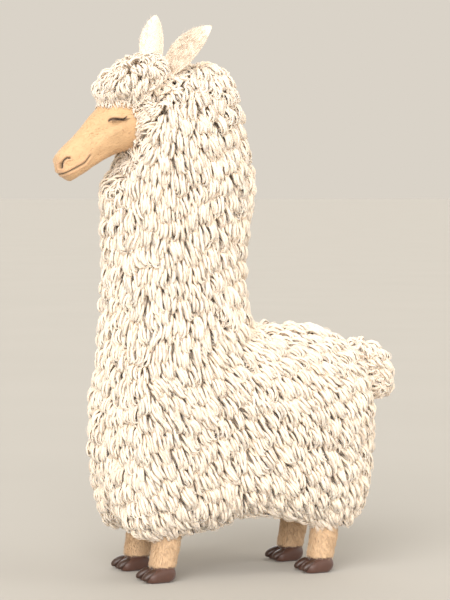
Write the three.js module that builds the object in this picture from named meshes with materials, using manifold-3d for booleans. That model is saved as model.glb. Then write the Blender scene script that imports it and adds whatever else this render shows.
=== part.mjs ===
// A life-size woolly llama in full fleece, standing square with its neck upright, its nose lowered and its
// head turned a little to its left. Millimetres, +Z up. It faces -X, its left side is -Y, and it stands on
// the plane Z = 0.
// Woolly surfaces are drawn at the tips of the wool, bare ones (face, lower legs, feet) at the short hair.

import * as THREE from "three";
import { mergeVertices } from "three/addons/utils/BufferGeometryUtils.js";
import Module from "manifold-3d";

const wasm = await Module();
wasm.setup();

// Driving sizes

const GAP = 0.6; // between two pieces that touch
const BACK_HEIGHT = 820; // floor to the top of the fleece over the loin
const WAIST_HEIGHT = 490; // the level at which the trunk is widest
const CHEST_X = -462;
const RUMP_X = 524;
const BODY_HALF_WIDTH = 268;
const NECK_HALF_DEPTH = 240; // front to back, halfway up
const NECK_HALF_WIDTH = 186;
const POLL = { x: -300, z: 1600 }; // top of the skull, between the ears
const HEAD_LENGTH = 384; // poll to nose
const HEAD_PITCH = 31; // degrees, nose down
const HEAD_TURN = 5; // degrees, towards its left
const EAR_LENGTH = 190;
const EAR_TURN = { left: 44, right: -36 }; // degrees, each ear's cup outwards
const EAR_LEAN = { left: 36, right: 17 }; // degrees, each ear's tip outwards
const EAR_SWING = { left: 56, right: 31 }; // degrees, each ear's tip towards the tail
const EYE_RADIUS = 19.5;
const STANCE_HALF_WIDTH = 128; // from the middle plane to each foot
const FRONT_FEET_X = -250; // the line of the front cannon bones
const HIND_FEET_X = 300;
const FLEECE_HEM = { front: 126, belly: 188, hind: 138 }; // floor to the hanging edge of the fleece
const TAIL_LENGTH = 188;
// The X values here are from under the trunk's own middle; this moves the whole llama over the origin.
const MIDDLE_SHIFT = -16.5;

// Materials

const finish = (color, roughness) => new THREE.MeshStandardMaterial({ color, roughness, metalness: 0 });
const wool = finish("#fbeedb", 0.95);
const faceHair = finish("#f3cda0", 0.85);
const soleSkin = finish("#5d3a2b", 0.8);
const nailHorn = finish("#6c412e", 0.45);
const wetEye = finish("#1c120d", 0.08);

// Shape tools

const radians = THREE.MathUtils.degToRad;
const side = new THREE.Vector3(0, 1, 0);

// A closed three.js geometry as a solid that can be cut and joined.
function solidOf(geometry) {
  const bare = geometry.clone();
  for (const name of ["normal", "uv"]) bare.deleteAttribute(name);
  const merged = mergeVertices(bare, 1e-3);
  const triVerts = new Uint32Array(merged.index.array);
  return new wasm.Manifold(
    new wasm.Mesh({ numProp: 3, vertProperties: merged.attributes.position.array, triVerts }),
  );
}

// A cut or joined solid as a three.js geometry again.
function geometryOf(solid) {
  const { vertProperties, triVerts, numProp } = solid.getMesh();
  const geometry = new THREE.BufferGeometry();
  const points = new THREE.InterleavedBuffer(vertProperties, numProp);
  geometry.setAttribute("position", new THREE.InterleavedBufferAttribute(points, 3, 0));
  geometry.setIndex(new THREE.BufferAttribute(triVerts, 1));
  const flat = geometry.toNonIndexed();
  flat.computeVertexNormals();
  return flat;
}

// Half the height of a round end: 0 at the very end, 1 from one cap length inwards.
function roundEnd(distance, cap) {
  const short = 1 - Math.min(1, distance / cap);
  return Math.sqrt(1 - short * short);
}

// A body of rounded sections across a spine in the XZ plane. Each station gives the spine's place (x, z) and
// how far the skin is from it: up, down and side. The two end stations are the tips.
// square above 2 flattens the sides, on the up and the down side; groove(angle) pulls a section in; grow adds
// to every size.
function loft({ stations, around, along, caps, square = [2, 2], groove = () => 1, grow = 0 }) {
  const spine = stations.map(({ x, z }) => new THREE.Vector2(x, z));
  const reach = [0];
  for (let i = 1; i < spine.length; i++) reach.push(reach[i - 1] + spine[i].distanceTo(spine[i - 1]));
  const length = reach.at(-1);
  const values = stations.flatMap(({ x, z, up, down, side }) => [x, z, up, down, side]);
  const sizes = new THREE.CubicInterpolant(reach, values, 5, new Float32Array(5));
  const at = (distance) => Array.from(sizes.evaluate(THREE.MathUtils.clamp(distance, 0, length)));

  const geometry = new THREE.SphereGeometry(1, around, along);
  const position = geometry.attributes.position;
  const point = new THREE.Vector3();
  for (let ring = 0; ring <= along; ring++) {
    const even = ring / along;
    const share = even - (0.6 * Math.sin(2 * Math.PI * even)) / (2 * Math.PI); // closer rings at the ends
    const distance = share * length;
    const [x, z, up, down, wide] = at(distance);
    const [x0, z0] = at(distance - 1);
    const [x1, z1] = at(distance + 1);
    const tangent = new THREE.Vector3(x1 - x0, 0, z1 - z0).normalize();
    const normal = tangent.clone().cross(side);
    const end = ring === 0 || ring === along;
    const round = end ? 0 : roundEnd(distance, caps[0]) * roundEnd(length - distance, caps[1]);
    const push = grow * (2 * share - 1) * (end ? 1 : 0);
    for (let step = 0; step <= around; step++) {
      const angle = (2 * Math.PI * (step % around)) / around;
      const c = -Math.cos(angle);
      const s = Math.sin(angle);
      const power = 2 / square[s > 0 ? 0 : 1];
      const across = Math.sign(c) * Math.abs(c) ** power;
      const upright = Math.sign(s) * Math.abs(s) ** power;
      const pull = groove(Math.atan2(s, Math.abs(c)), share);
      const depth = (s > 0 ? up : down) * round + (end ? 0 : grow);
      point.set(x, 0, z).addScaledVector(tangent, push);
      point.addScaledVector(side, across * (wide * round + (end ? 0 : grow)) * pull);
      point.addScaledVector(normal, upright * depth * pull);
      position.setXYZ(ring * (around + 1) + step, point.x, point.y, point.z);
    }
  }
  return geometry;
}

// Stations from the outline of a lying form: its top, bottom and half width at each x.
const lying = (rows) =>
  rows.map(({ x, top, bottom, side, waist = (top + bottom) / 2 }) => {
    return { x, z: waist, up: top - waist, down: waist - bottom, side };
  });

// Stations from the outline of an upright form, rising: its front, back and half width at each z.
// The skin faces -X on its up side.
const rising = (rows) =>
  rows.map(({ z, front, back, side }) => {
    const x = (front + back) / 2;
    return { x, z, up: x - front, down: back - x, side };
  });

// A box between two corners.
function block(low, high) {
  const size = new THREE.Vector3().subVectors(high, low);
  const box = new THREE.BoxGeometry(size.x, size.y, size.z);
  return box.translate((low.x + high.x) / 2, (low.y + high.y) / 2, (low.z + high.z) / 2);
}

const v = (x, y, z) => new THREE.Vector3(x, y, z);
const FAR = 2000; // past every part of the animal

// Everything above a plane that crosses the XZ plane through (x, z) and climbs with the slope in degrees.
function above({ x, z, slope }, lift = 0) {
  const slab = block(v(-FAR, -FAR, lift), v(FAR, FAR, FAR));
  return solidOf(slab.rotateY(-radians(slope)).translate(x, 0, z));
}

function below(plane, drop = 0) {
  const slab = block(v(-FAR, -FAR, -FAR), v(FAR, FAR, -drop));
  return solidOf(slab.rotateY(-radians(plane.slope)).translate(plane.x, 0, plane.z));
}

// Fleece of the trunk and neck

// The underside parts into two woolly halves: the section is pulled in around straight down.
const HEM_PARTING = 0.26; // share of the depth that the parting takes
const PARTING_SPREAD = 0.17; // radians
const underParting = (angle) => 1 - HEM_PARTING * Math.exp(-(((angle + Math.PI / 2) / PARTING_SPREAD) ** 2));

function trunkLoft(grow = 0) {
  const waist = WAIST_HEIGHT;
  return loft({
    stations: lying([
      { x: CHEST_X, top: waist + 290, bottom: 270, side: 150, waist },
      { x: -388, top: BACK_HEIGHT - 20, bottom: FLEECE_HEM.front, side: 226, waist },
      { x: -290, top: BACK_HEIGHT + 10, bottom: FLEECE_HEM.front, side: 250, waist },
      { x: -110, top: BACK_HEIGHT + 2, bottom: 138, side: BODY_HALF_WIDTH - 4, waist },
      { x: 30, top: BACK_HEIGHT - 4, bottom: FLEECE_HEM.belly, side: BODY_HALF_WIDTH, waist },
      { x: 160, top: BACK_HEIGHT, bottom: 162, side: BODY_HALF_WIDTH, waist },
      { x: 300, top: BACK_HEIGHT - 6, bottom: FLEECE_HEM.hind, side: 258, waist },
      { x: 420, top: BACK_HEIGHT - 56, bottom: FLEECE_HEM.hind, side: 228, waist },
      { x: RUMP_X, top: waist + 260, bottom: 270, side: 150, waist },
    ]),
    around: 32,
    along: 17,
    caps: [130, 140],
    square: [2.15, 3.8],
    groove: underParting,
    grow,
  });
}

function neckLoft(grow = 0) {
  const middle = -178; // the neck's own line
  const front = middle - NECK_HALF_DEPTH;
  const back = middle + NECK_HALF_DEPTH;
  return loft({
    stations: rising([
      { z: 490, front: front + 12, back: back + 90, side: 205 },
      { z: 620, front: front - 22, back: back + 74, side: 236 },
      { z: 750, front: front - 14, back: back + 36, side: 228 },
      { z: 880, front: front - 4, back: back + 8, side: 208 },
      { z: 1060, front, back: back + 4, side: NECK_HALF_WIDTH + 4 },
      { z: 1250, front: front - 8, back: back + 38, side: NECK_HALF_WIDTH },
      { z: 1360, front: front - 14, back: back + 46, side: NECK_HALF_WIDTH - 4 },
      { z: 1445, front: front + 50, back: back + 32, side: 172 },
      { z: 1530, front: front + 132, back: back - 2, side: 154 },
      { z: 1615, front: front + 170, back: back - 62, side: 126 },
      { z: 1676, front: front + 200, back: back - 140, side: 86 },
    ]),
    around: 24,
    along: 15,
    caps: [110, 70],
    square: [2.1, 2.1],
    grow,
  });
}

// Head, in its own frame

// Origin at the poll, nose towards -X. The head's sizes below are for a head of 345 from poll to nose.
const NOSE_X = -345;
const headSize = HEAD_LENGTH / -NOSE_X;
const headPlace = new THREE.Matrix4()
  .makeTranslation(POLL.x, 0, POLL.z)
  .multiply(new THREE.Matrix4().makeRotationZ(radians(HEAD_TURN)))
  .multiply(new THREE.Matrix4().makeRotationY(-radians(HEAD_PITCH)))
  .multiply(new THREE.Matrix4().makeScale(headSize, headSize, headSize));
const inHead = (geometry) => solidOf(geometry.applyMatrix4(headPlace));

const EYE = { x: -128, y: 47, z: -46 };
const MOUTH = { x: NOSE_X, z: -104, slope: -4 }; // the line between the lips, towards the jaw angle

function skullLoft(grow = 0) {
  return loft({
    stations: lying([
      { x: NOSE_X, top: -60, bottom: -118, side: 25 },
      { x: -326, top: -52, bottom: -132, side: 36 },
      { x: -298, top: -44, bottom: -139, side: 41 },
      { x: -255, top: -36, bottom: -138, side: 40 },
      { x: -205, top: -23, bottom: -139, side: 44 },
      { x: -155, top: -6, bottom: -146, side: 56 },
      { x: -116, top: 4, bottom: -154, side: 67 },
      { x: -70, top: 9, bottom: -156, side: 68 },
      { x: -20, top: 4, bottom: -140, side: 61 },
      { x: 64, top: -16, bottom: -100, side: 48 },
    ]),
    around: 20,
    along: 17,
    caps: [17, 50],
    square: [2.25, 2.25],
    grow,
  });
}

// The wool puff on the forehead, which hangs a fringe over the brow.
function topknotLoft(grow = 0) {
  return loft({
    stations: lying([
      { x: -140, top: 36, bottom: -20, side: 60 },
      { x: -120, top: 58, bottom: -28, side: 80 },
      { x: -84, top: 76, bottom: -42, side: 96 },
      { x: -6, top: 80, bottom: -60, side: 112 },
      { x: 104, top: 64, bottom: -50, side: 100 },
    ]),
    around: 18,
    along: 10,
    caps: [52, 60],
    square: [2.2, 2.2],
    grow,
  });
}

// A llama's ear: a long leaf on a narrow foot, its tip bent in over the head.
function earLoft(name, hand, grow = 0) {
  const L = EAR_LENGTH;
  const leaf = loft({
    stations: [
      { x: 0, z: -14, up: 13, down: 13, side: 17 },
      { x: -1, z: 0.12 * L, up: 15, down: 14, side: 29 },
      { x: -5, z: 0.38 * L, up: 15, down: 15, side: 40 },
      { x: -4, z: 0.62 * L, up: 12, down: 14, side: 37 },
      { x: 4, z: 0.84 * L, up: 9, down: 11, side: 23 },
      { x: 14, z: L, up: 4, down: 4, side: 5 },
    ],
    around: 10,
    along: 8,
    caps: [14, 16],
    grow,
  });
  const turnOut = -hand * radians(EAR_TURN[name]); // the cup faces forwards
  const leanOut = hand * radians(EAR_LEAN[name]);
  return leaf
    .rotateZ(turnOut)
    .rotateX(-leanOut)
    .rotateY(radians(7 + EAR_SWING[name]))
    .translate(78, hand * 46, -14);
}

// Legs and feet

// The bare leg from inside the fleece down to the pastern. lean carries the pastern forward over the toes.
function shankLoft(x, y, thick) {
  const lean = -1;
  return loft({
    stations: [
      { x: x + lean * 12, z: 26, up: 38, down: 37, side: 44 },
      { x: x + lean * 10, z: 52, up: 43, down: 41, side: 46 },
      { x: x + lean * 5, z: 84, up: 43, down: 43, side: 44 },
      { x, z: 116, up: 44, down: 46, side: 45 },
      { x: x + 3, z: 150, up: 43, down: 45, side: 43 },
      { x: x + 4, z: 200, up: 42, down: 44, side: 42 },
      { x: x + 4, z: 340, up: thick, down: thick, side: thick },
    ],
    around: 12,
    along: 8,
    caps: [16, 20],
  }).translate(0, y, 0);
}

// ahead: how far the toes' middle lies before the leg's line; cleft: half the space between two toes
const TOE = { length: 100, halfWidth: 24, height: 47, splay: 5, ahead: 17, cleft: 2.2 };

// One toe with its flat pad, heel towards +X. The floor cuts its underside flat.
function toeLoft(grow = 0) {
  const { length, halfWidth, height } = TOE;
  return loft({
    stations: lying([
      { x: -0.62 * length, top: 22, bottom: -5, side: 13 },
      { x: -0.42 * length, top: 33, bottom: -7, side: halfWidth - 2 },
      { x: -0.12 * length, top: height, bottom: -7, side: halfWidth },
      { x: 0.18 * length, top: height + 4, bottom: -7, side: halfWidth },
      { x: 0.38 * length, top: 28, bottom: -4, side: halfWidth - 5 },
    ]),
    around: 8,
    along: 6,
    caps: [18, 16],
    square: [2.4, 2.4],
    grow,
  });
}

// The nail: a curved horn cap over the front of the toe, its tip just off the floor.
function nailLoft(grow = 0) {
  const { length } = TOE;
  return loft({
    stations: [
      { x: -0.24 * length, z: 39, up: 6, down: 10, side: 11 },
      { x: -0.41 * length, z: 31, up: 10, down: 12, side: 16 },
      { x: -0.57 * length, z: 20, up: 12, down: 12, side: 15 },
      { x: -0.71 * length, z: 9, up: 8, down: 6, side: 9 },
    ].reverse(),
    around: 8,
    along: 5,
    caps: [9, 8],
    grow,
  });
}

// Side view of the part of the fleece that belongs to one leg: the shoulder or the haunch and all below it.
// inner is the upright edge towards the belly, outer the open edge past the chest or the rump.
function haunchRegion({ inner, outer, crown, low, high }, hand, margin) {
  const inwards = Math.sign(outer - inner);
  const edge = inner - inwards * margin;
  const outline = new THREE.Shape();
  outline.moveTo(edge, -60);
  outline.lineTo(edge + inwards * 8, low);
  outline.bezierCurveTo(
    edge + inwards * 10,
    high - 40 + margin,
    crown - inwards * 60,
    high + margin,
    crown,
    high + margin,
  );
  outline.bezierCurveTo(
    crown + inwards * 90,
    high + margin,
    outer,
    high - 60 + margin,
    outer,
    high - 90 + margin,
  );
  outline.lineTo(outer, -60);
  outline.closePath();
  const slab = new THREE.ExtrudeGeometry(outline, { depth: 420, bevelEnabled: false, curveSegments: 9 });
  slab.rotateX(Math.PI / 2); // outline's y becomes Z, and the slab runs towards -Y
  const inside = GAP / 2 - margin;
  return solidOf(slab.translate(0, hand > 0 ? 420 + inside : -inside, 0));
}

const FRONT_REGION = { inner: -72, outer: CHEST_X - 80, crown: FRONT_FEET_X, low: 270, high: 500 };
const HIND_REGION = { inner: 112, outer: RUMP_X + 100, crown: HIND_FEET_X + 6, low: 270, high: 545 };

// Tail

function tailLoft() {
  const root = BACK_HEIGHT - 92;
  const drop = TAIL_LENGTH;
  return loft({
    stations: [
      { x: RUMP_X - 95, z: root, up: 40, down: 40, side: 40 },
      { x: RUMP_X - 34, z: root - 4, up: 48, down: 48, side: 52 },
      { x: RUMP_X + 12, z: root - 42, up: 58, down: 54, side: 62 },
      { x: RUMP_X + 32, z: root - 0.48 * drop, up: 60, down: 54, side: 66 },
      { x: RUMP_X + 30, z: root - 0.78 * drop, up: 52, down: 48, side: 58 },
      { x: RUMP_X + 24, z: root - drop, up: 30, down: 28, side: 34 },
    ],
    around: 14,
    along: 9,
    caps: [20, 60],
  });
}

// Assembly

const llama = new THREE.Group();

function add(name, solid, material) {
  const mesh = new THREE.Mesh(geometryOf(solid), material);
  mesh.name = name;
  llama.add(mesh);
}

const hands = { left: -1, right: 1 }; // which way along Y

// Head, jaw, eyes and ears.
const eyeballs = {};
for (const [name, hand] of Object.entries(hands)) {
  const ball = (radius) => {
    return inHead(new THREE.SphereGeometry(radius, 12, 8).translate(EYE.x, hand * EYE.y, EYE.z));
  };
  eyeballs[name] = { ball: ball(EYE_RADIUS), socket: ball(EYE_RADIUS + GAP) };
}
const skull = inHead(skullLoft());
const skullRoom = inHead(skullLoft(GAP));
const mouthPart = (half, margin) => half({ ...MOUTH }, margin).transform(headPlace.toArray());
const jaw = skull.intersect(mouthPart(below, GAP / 2));
let head = skull.intersect(mouthPart(above, GAP / 2));
for (const { socket } of Object.values(eyeballs)) head = head.subtract(socket);

const ears = {};
for (const [name, hand] of Object.entries(hands)) {
  ears[name] = { leaf: inHead(earLoft(name, hand)), room: inHead(earLoft(name, hand, GAP)) };
}

// Fleece of the whole body, before it is parted.
const neckMass = solidOf(neckLoft());
const fleece = solidOf(trunkLoft()).add(neckMass);
const neckRoot = { x: -190, z: 726, slope: 28 }; // from the breast up to the withers
const regions = { front: FRONT_REGION, hind: HIND_REGION };

let neck = fleece.intersect(above(neckRoot, GAP / 2)).subtract(skullRoom);
const barrel = fleece.subtract(above(neckRoot, -GAP / 2));
let trunk = barrel;
let topknot = inHead(topknotLoft()).subtract(skullRoom).subtract(solidOf(neckLoft(GAP)));
for (const { room } of Object.values(ears)) {
  topknot = topknot.subtract(room);
  neck = neck.subtract(room);
}
for (const { socket } of Object.values(eyeballs)) neck = neck.subtract(socket);

for (const [end, region] of Object.entries(regions)) {
  for (const [name, hand] of Object.entries(hands)) {
    const x = end === "front" ? FRONT_FEET_X : HIND_FEET_X;
    const y = hand * STANCE_HALF_WIDTH;
    const floor = solidOf(block(v(-FAR, -FAR, -FAR), v(FAR, FAR, 0)));

    const woolly = barrel.intersect(haunchRegion(region, hand, 0));
    trunk = trunk.subtract(haunchRegion(region, hand, GAP));
    let leg = woolly.add(solidOf(shankLoft(x, y, 43)));

    for (const [toeName, toeSide] of Object.entries({ outer: hand, inner: -hand })) {
      const place = (geometry) => {
        const turned = geometry.rotateZ(-toeSide * radians(TOE.splay));
        return solidOf(turned.translate(x - TOE.ahead, y + toeSide * (TOE.halfWidth + TOE.cleft), 0));
      };
      const nail = place(nailLoft());
      const toe = place(toeLoft()).subtract(floor).subtract(place(nailLoft(GAP)));
      leg = leg.subtract(place(toeLoft(GAP))).subtract(place(nailLoft(GAP)));
      add(`toe_${end}_${name}_${toeName}`, toe, soleSkin);
      add(`nail_${end}_${name}_${toeName}`, nail, nailHorn);
    }
    add(`leg_${end}_${name}`, leg, wool);
  }
}

// The origin is on the floor under the middle of the whole animal, tail to nose.
llama.position.x = MIDDLE_SHIFT;

add("trunk", trunk, wool);
add("neck", neck, wool);
add("tail", solidOf(tailLoft()).subtract(solidOf(trunkLoft(GAP))), wool);
add("head", head, faceHair);
add("jaw", jaw, faceHair);
add("topknot", topknot, wool);
for (const name of Object.keys(hands)) {
  add(`ear_${name}`, ears[name].leaf.subtract(skullRoom), wool);
  add(`eye_${name}`, eyeballs[name].ball, wetEye);
}

export default llama;
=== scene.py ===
import math

import bmesh
import bpy
import numpy as np
from mathutils import Matrix, Vector
from mathutils.bvhtree import BVHTree
from mathutils.kdtree import KDTree


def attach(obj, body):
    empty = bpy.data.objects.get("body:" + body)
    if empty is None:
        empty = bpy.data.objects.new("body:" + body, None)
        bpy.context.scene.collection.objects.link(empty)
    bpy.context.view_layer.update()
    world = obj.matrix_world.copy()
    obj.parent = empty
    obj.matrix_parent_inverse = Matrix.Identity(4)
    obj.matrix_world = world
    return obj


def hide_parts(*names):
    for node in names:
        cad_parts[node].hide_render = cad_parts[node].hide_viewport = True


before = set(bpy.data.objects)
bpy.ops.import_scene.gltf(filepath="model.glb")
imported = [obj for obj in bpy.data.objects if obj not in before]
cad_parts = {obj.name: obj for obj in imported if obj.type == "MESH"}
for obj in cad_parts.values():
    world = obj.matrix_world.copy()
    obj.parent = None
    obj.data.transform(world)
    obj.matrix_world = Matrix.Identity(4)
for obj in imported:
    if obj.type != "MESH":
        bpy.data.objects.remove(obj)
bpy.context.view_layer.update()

# A woolly llama at life size, in metres. It faces -X, its left side is -Y, the floor is Z = 0.
# One skin runs from nose to toes; the fleece is curled locks of wool standing on it.

chance = np.random.default_rng(41)
mm = 0.001
sides = {"left": -1, "right": 1}  # which way along Y
ends = ("front", "hind")
legNodes = [f"leg_{end}_{side}" for end in ends for side in sides]
toeNodes = [f"toe_{end}_{side}_{toe}" for end in ends for side in sides for toe in ("outer", "inner")]


def smooth(low, high, value):  # 0 at low, 1 at high, eased
    t = np.clip((value - low) / (high - low), 0, 1)
    return t * t * (3 - 2 * t)


def ridge(distance, width):  # 1 on a line, fading out over its width
    return np.exp(-((distance / width) ** 2))


def unit(vectors):
    return vectors / np.maximum(np.linalg.norm(vectors, axis=-1, keepdims=True), 1e-9)


def through(knots, rows, at):  # a smooth curve through rows that stand at knots
    knots, rows = np.asarray(knots, float), np.asarray(rows, float)
    slope = np.gradient(rows, knots, axis=0)
    i = np.clip(np.searchsorted(knots, at) - 1, 0, len(knots) - 2)
    step = (knots[i + 1] - knots[i])[:, None]
    s = (np.asarray(at) - knots[i])[:, None] / step
    near = (1 + 2 * s) * (1 - s) ** 2 * rows[i] + s * (1 - s) ** 2 * step * slope[i]
    return near + s * s * (3 - 2 * s) * rows[i + 1] + s * s * (s - 1) * step * slope[i + 1]


def moved(matrix, points):
    m = np.array(matrix)
    return points @ m[:3, :3].T + m[:3, 3]


def ringForm(rings):  # rings of points, closed at both ends by a fan; gives points and faces
    count, around = rings.shape[:2]
    points = np.vstack([rings.reshape(-1, 3), rings[0].mean(0), rings[-1].mean(0)])
    first, last = count * around, count * around + 1
    faces = []
    for r in range(count - 1):
        for a in range(around):
            b = (a + 1) % around
            faces.append((r * around + a, r * around + b, (r + 1) * around + b, (r + 1) * around + a))
    for a in range(around):
        b = (a + 1) % around
        faces.append((first, b, a))
        faces.append((last, (count - 1) * around + a, (count - 1) * around + b))
    return points, faces


def roundEnd(distance, cap):  # a form's share of its full size near a rounded end
    return np.sqrt(1 - (1 - np.clip(distance / cap, 0, 1)) ** 2)


def loftRings(rows, around, along, caps, power=2.2, crowd=0.6):
    # rows: spine x and z, then how far the skin is up, down and to the side of it
    rows = np.asarray(rows, float)
    reach = np.concatenate([[0], np.cumsum(np.hypot(*np.diff(rows[:, :2], axis=0).T))])
    length = reach[-1]
    even = np.linspace(0.004, 0.996, along)
    place = (even - crowd * np.sin(2 * np.pi * even) / (2 * np.pi)) * length
    x, z, up, down, side = through(reach, rows, place).T
    ahead = through(reach, rows, np.clip(place + mm, 0, length))
    behind = through(reach, rows, np.clip(place - mm, 0, length))
    tangent = unit((ahead - behind)[:, :2])
    full = roundEnd(place, caps[0]) * roundEnd(length - place, caps[1])
    angle = np.linspace(0, 2 * np.pi, around, endpoint=False)
    c, s = -np.cos(angle), np.sin(angle)
    across = np.sign(c) * np.abs(c) ** (2 / power)
    upright = np.sign(s) * np.abs(s) ** (2 / power)
    depth = np.where(s > 0, up[:, None], down[:, None]) * full[:, None] * upright
    rings = np.empty((along, around, 3))
    rings[..., 0] = x[:, None] - tangent[:, 1:2] * depth
    rings[..., 1] = side[:, None] * full[:, None] * across
    rings[..., 2] = z[:, None] + tangent[:, 0:1] * depth
    return rings


def pieceFrom(name, points, faces):
    mesh = bpy.data.meshes.new(name)
    mesh.from_pydata([tuple(p) for p in points], [], faces)
    form = bmesh.new()
    form.from_mesh(mesh)
    bmesh.ops.recalc_face_normals(form, faces=form.faces)
    form.to_mesh(mesh)
    form.free()
    mesh.shade_smooth()
    piece = bpy.data.objects.new(name, mesh)
    bpy.context.scene.collection.objects.link(piece)
    return piece


def pointsOf(mesh, what="co"):
    values = np.empty(len(mesh.vertices) * 3)
    mesh.vertices.foreach_get(what, values)
    return values.reshape(-1, 3)


def placePoints(mesh, points):
    mesh.vertices.foreach_set("co", np.asarray(points, np.float32).ravel())
    mesh.update()


def settle(piece):  # puts the result of the modifiers into the mesh
    graph = bpy.context.evaluated_depsgraph_get()
    mesh = bpy.data.meshes.new_from_object(piece.evaluated_get(graph))
    old = piece.data
    piece.modifiers.clear()
    piece.data = mesh
    bpy.data.meshes.remove(old)


def treeOf(points):
    tree = KDTree(len(points))
    for i, p in enumerate(points):
        tree.insert(p, i)
    tree.balance()
    return tree


def nearest(tree, points):  # which of the tree's points is nearest, and how far it is
    found = [tree.find(p)[1:] for p in points]
    return np.array([f[0] for f in found]), np.array([f[1] for f in found])


def evenForm(piece, voxel, rounds):  # rebuilds a form in even facets and softens it
    remesh = piece.modifiers.new("even", "REMESH")
    remesh.mode = "VOXEL"
    remesh.voxel_size = voxel
    soften = piece.modifiers.new("soften", "SMOOTH")
    soften.factor = 0.5
    soften.iterations = rounds
    settle(piece)


# The head's own frame has the origin at the poll and the nose towards -X, in millimetres.

headPose = {"poll": (-0.3165, 0, 1.600), "noseDown": 31, "turnLeft": 5, "scale": 384 / 345}
headMatrix = (
    Matrix.Translation(headPose["poll"])
    @ Matrix.Rotation(math.radians(headPose["turnLeft"]), 4, "Z")
    @ Matrix.Rotation(math.radians(-headPose["noseDown"]), 4, "Y")
    @ Matrix.Scale(headPose["scale"] * mm, 4)
)
headInverse = np.array(headMatrix.inverted())


def headPlaces(points):  # places in the head's own frame, in its millimetres
    return points @ headInverse[:3, :3].T + headInverse[:3, 3]


# The guide is a soft form at the tips of the coat, from which skin and locks are worked out.
# The wool ends in a curve behind the cheek and under the jaw, so the guide is cut away in front of it.

guideShape = {
    "voxel": 0.010,
    "rounds": 16,
    # x and z of the wool's edge in the head's frame, from the brow back to the temple and down to the breast
    "edge": [
        (-175, 32), (-130, 16), (-92, 4), (-78, -10), (-60, -41), (-52, -65), (-53, -90), (-87, -127),
        (-117, -159), (-155, -180), (-194, -197), (-269, -218), (-330, -226),
    ],
}


def beforeEdge(places):  # how far places in the head's frame are in front of the wool's edge
    x, z = np.array(guideShape["edge"])[::-1].T
    return np.interp(places[:, 2], z, x) - places[:, 0]


def makeFaceSpace():
    outline = guideShape["edge"] + [(-480, -226), (-480, 32)]
    rings = np.array([[(x, y, z) for x, z in outline] for y in (-250, 250)], float)
    points, faces = ringForm(rings)
    return pieceFrom("face_space", moved(headMatrix, points), faces)


def addNodes(mesh, nodes):  # adds the forms of nodes to a mesh
    form = bmesh.new()
    form.from_mesh(mesh)
    for node in nodes:
        form.from_mesh(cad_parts[node].data)
    form.to_mesh(mesh)
    form.free()


def makeGuide():
    mesh = bpy.data.meshes.new("guide")
    piece = bpy.data.objects.new("guide", mesh)
    bpy.context.scene.collection.objects.link(piece)
    addNodes(mesh, ["trunk", "neck", "tail", "topknot"] + legNodes)
    evenForm(piece, guideShape["voxel"], 0)
    faceSpace = makeFaceSpace()
    cut = piece.modifiers.new("cut", "BOOLEAN")
    cut.operation = "DIFFERENCE"
    cut.solver = "MANIFOLD"
    cut.object = faceSpace
    settle(piece)
    bpy.data.objects.remove(faceSpace)
    addNodes(piece.data, ["head", "jaw"])
    evenForm(piece, guideShape["voxel"], guideShape["rounds"])
    return piece


guide = makeGuide()
guidePoints = pointsOf(guide.data)
guideNormals = pointsOf(guide.data, "normal")
print("guide", len(guidePoints), "points", guidePoints.min(0), guidePoints.max(0))

headShape = {
    # x, top, bottom, half width
    "profile": [
        (-347, -66, -114, 19), (-336, -56, -126, 30), (-318, -49, -134, 37), (-290, -42, -138, 39),
        (-250, -35, -137, 39), (-205, -24, -138, 43), (-158, -7, -145, 54), (-118, 4, -154, 64),
        (-70, 9, -156, 67), (-20, 4, -140, 60), (64, -16, -100, 48),
    ],
    "eye": (-128, 47, -46),
    "eyeTilt": 17,  # degrees that the closed lids slope against the head's own line
    "eyeRadius": 19.5,
    "lidThickness": 2.1,
    "mouthFront": -104,  # height of the line between the lips at the nose
    "mouthCorner": -246,  # x of the corner
    "smile": 13,  # how far the corner turns up
}
# half width and depth of the lines on the face, in millimetres; a negative depth stands out
faceLines = {
    "mouth": {"width": 1.9, "depth": 3.6},
    "lipSplit": {"width": 1.7, "depth": 3.4},
    "nostril": {"width": 2.7, "depth": 7.5},
    "lipRoll": {"width": 3.2, "depth": -1.5},
    "nostrilRim": {"width": 2.6, "depth": -1.9},
    "lidSlit": {"width": 1.5, "depth": 3.8},
    "lidFold": {"width": 1.8, "depth": 2.2},
    "lidPouch": {"width": 1.7, "depth": 1.2},
    "lidEdge": {"width": 1.3, "depth": -0.7},
}
# soft pushes on the head: centre, reach and push, all in the head's frame and mirrored to the other side
headForms = [
    ((-128, 62, -18), (38, 18, 12), (0, 7, 5)),  # brow over the eye
    ((-162, 57, -78), (56, 18, 13), (0, 5, 1)),  # cheekbone
    ((-200, 43, -58), (34, 18, 20), (0, -6, 0)),  # hollow before the eye
    ((-66, 66, -112), (40, 24, 32), (0, 6, -2)),  # chewing muscle
    ((-222, 42, -116), (26, 16, 14), (0, -5, 0)),  # hollow behind the mouth corner
    ((-212, 0, -20), (72, 15, 18), (0, 0, 4)),  # ridge of the nose
    ((-327, 22, -97), (20, 15, 13), (-5, 5, -3)),  # pads of the upper lip
    ((-318, 26, -70), (16, 11, 11), (-1, 5, 3)),  # wings of the nostrils
    ((-321, 0, -131), (18, 20, 10), (-3, 0, -4)),  # chin
    ((-86, 20, 14), (40, 26, 24), (0, 0, 5)),  # forehead
]


def lipHeight(x):
    line = headShape["mouthFront"] - 0.07 * (x + 345)
    return line + headShape["smile"] * smooth(headShape["mouthCorner"] - 34, headShape["mouthCorner"] + 4, x)


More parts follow.
